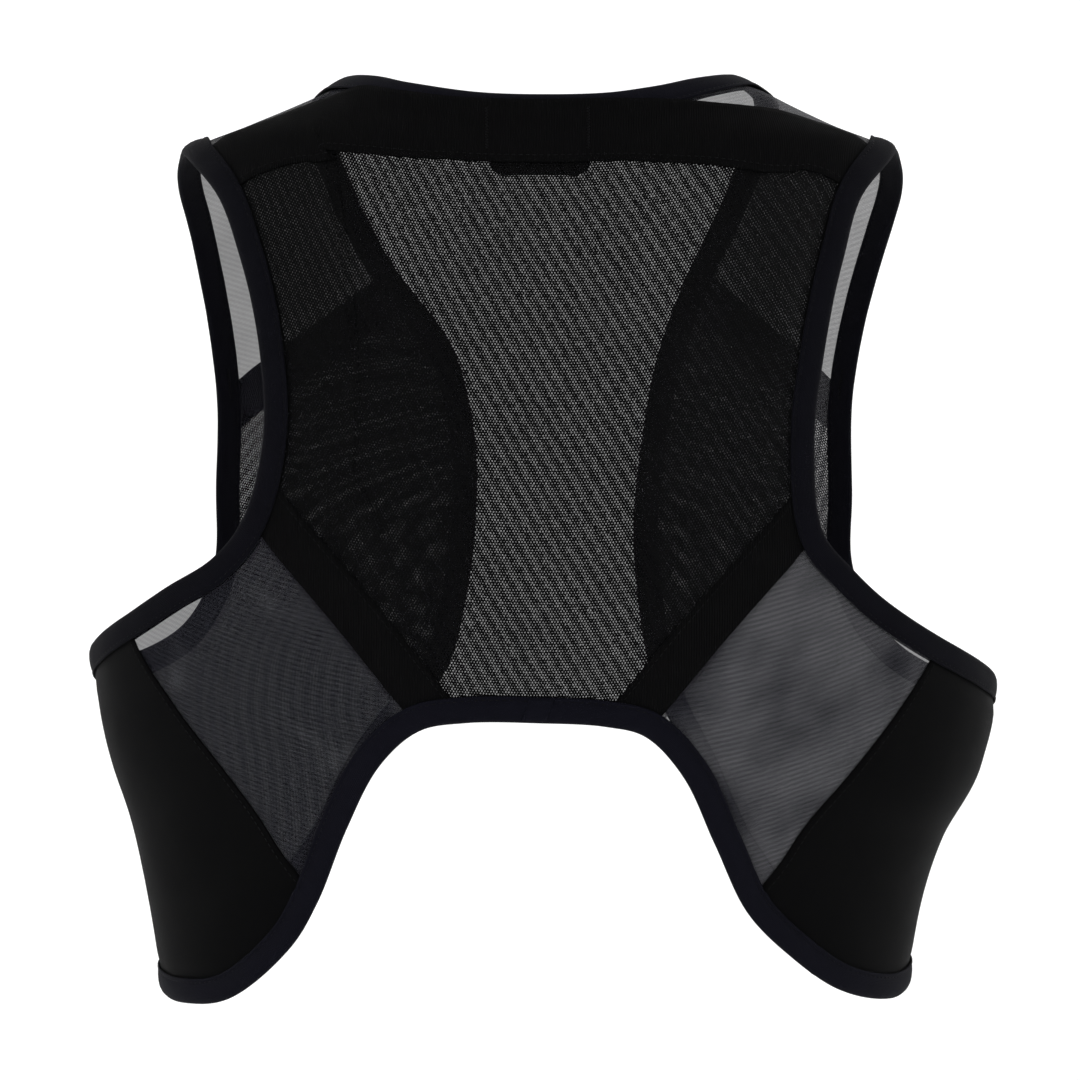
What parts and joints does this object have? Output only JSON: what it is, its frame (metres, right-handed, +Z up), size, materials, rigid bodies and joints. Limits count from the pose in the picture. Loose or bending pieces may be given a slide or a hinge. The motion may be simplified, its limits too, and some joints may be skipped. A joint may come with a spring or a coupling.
{
  "type": "running hydration vest",
  "caption": "Minimal running vest of sheer black mesh with folded bindings, a big mesh back pocket, chest pockets and smooth side panels, filled out as worn.",
  "frame": {"origin": "middle of the neck opening, level with the inner faces of the shoulder straps where they rest on the body", "axes": "+Z up, +Y the way the wearer faces, +X to the wearer's right"},
  "size_m": [0.3519, 0.2314, 0.357],
  "materials": {
    "binding": "matte folded knit binding",
    "sheer_mesh": "sheer fine-ribbed mesh",
    "dotted_mesh": "mesh with fine dot holes",
    "dense_hem": "dense folded mesh",
    "stretch_cloth": "smooth matte stretch cloth"
  },
  "bodies": {
    "root": {"back_mesh": "sheer_mesh", "neck_tab": "dense_hem", "back_pocket": "dotted_mesh", "back_pocket_band": "dense_hem", "edge_binding": "binding", "back_pocket_hem_left": "dense_hem", "wing_mesh_left": "sheer_mesh", "side_panel_left": "stretch_cloth", "front_mesh_left": "sheer_mesh", "front_pocket_left": "dotted_mesh", "front_pocket_hem_left": "dense_hem", "armhole_binding_left": "binding", "back_pocket_hem_right": "dense_hem", "wing_mesh_right": "sheer_mesh", "side_panel_right": "stretch_cloth", "front_mesh_right": "sheer_mesh", "front_pocket_right": "dotted_mesh", "front_pocket_hem_right": "dense_hem", "armhole_binding_right": "binding"}
  },
  "joints": []
}
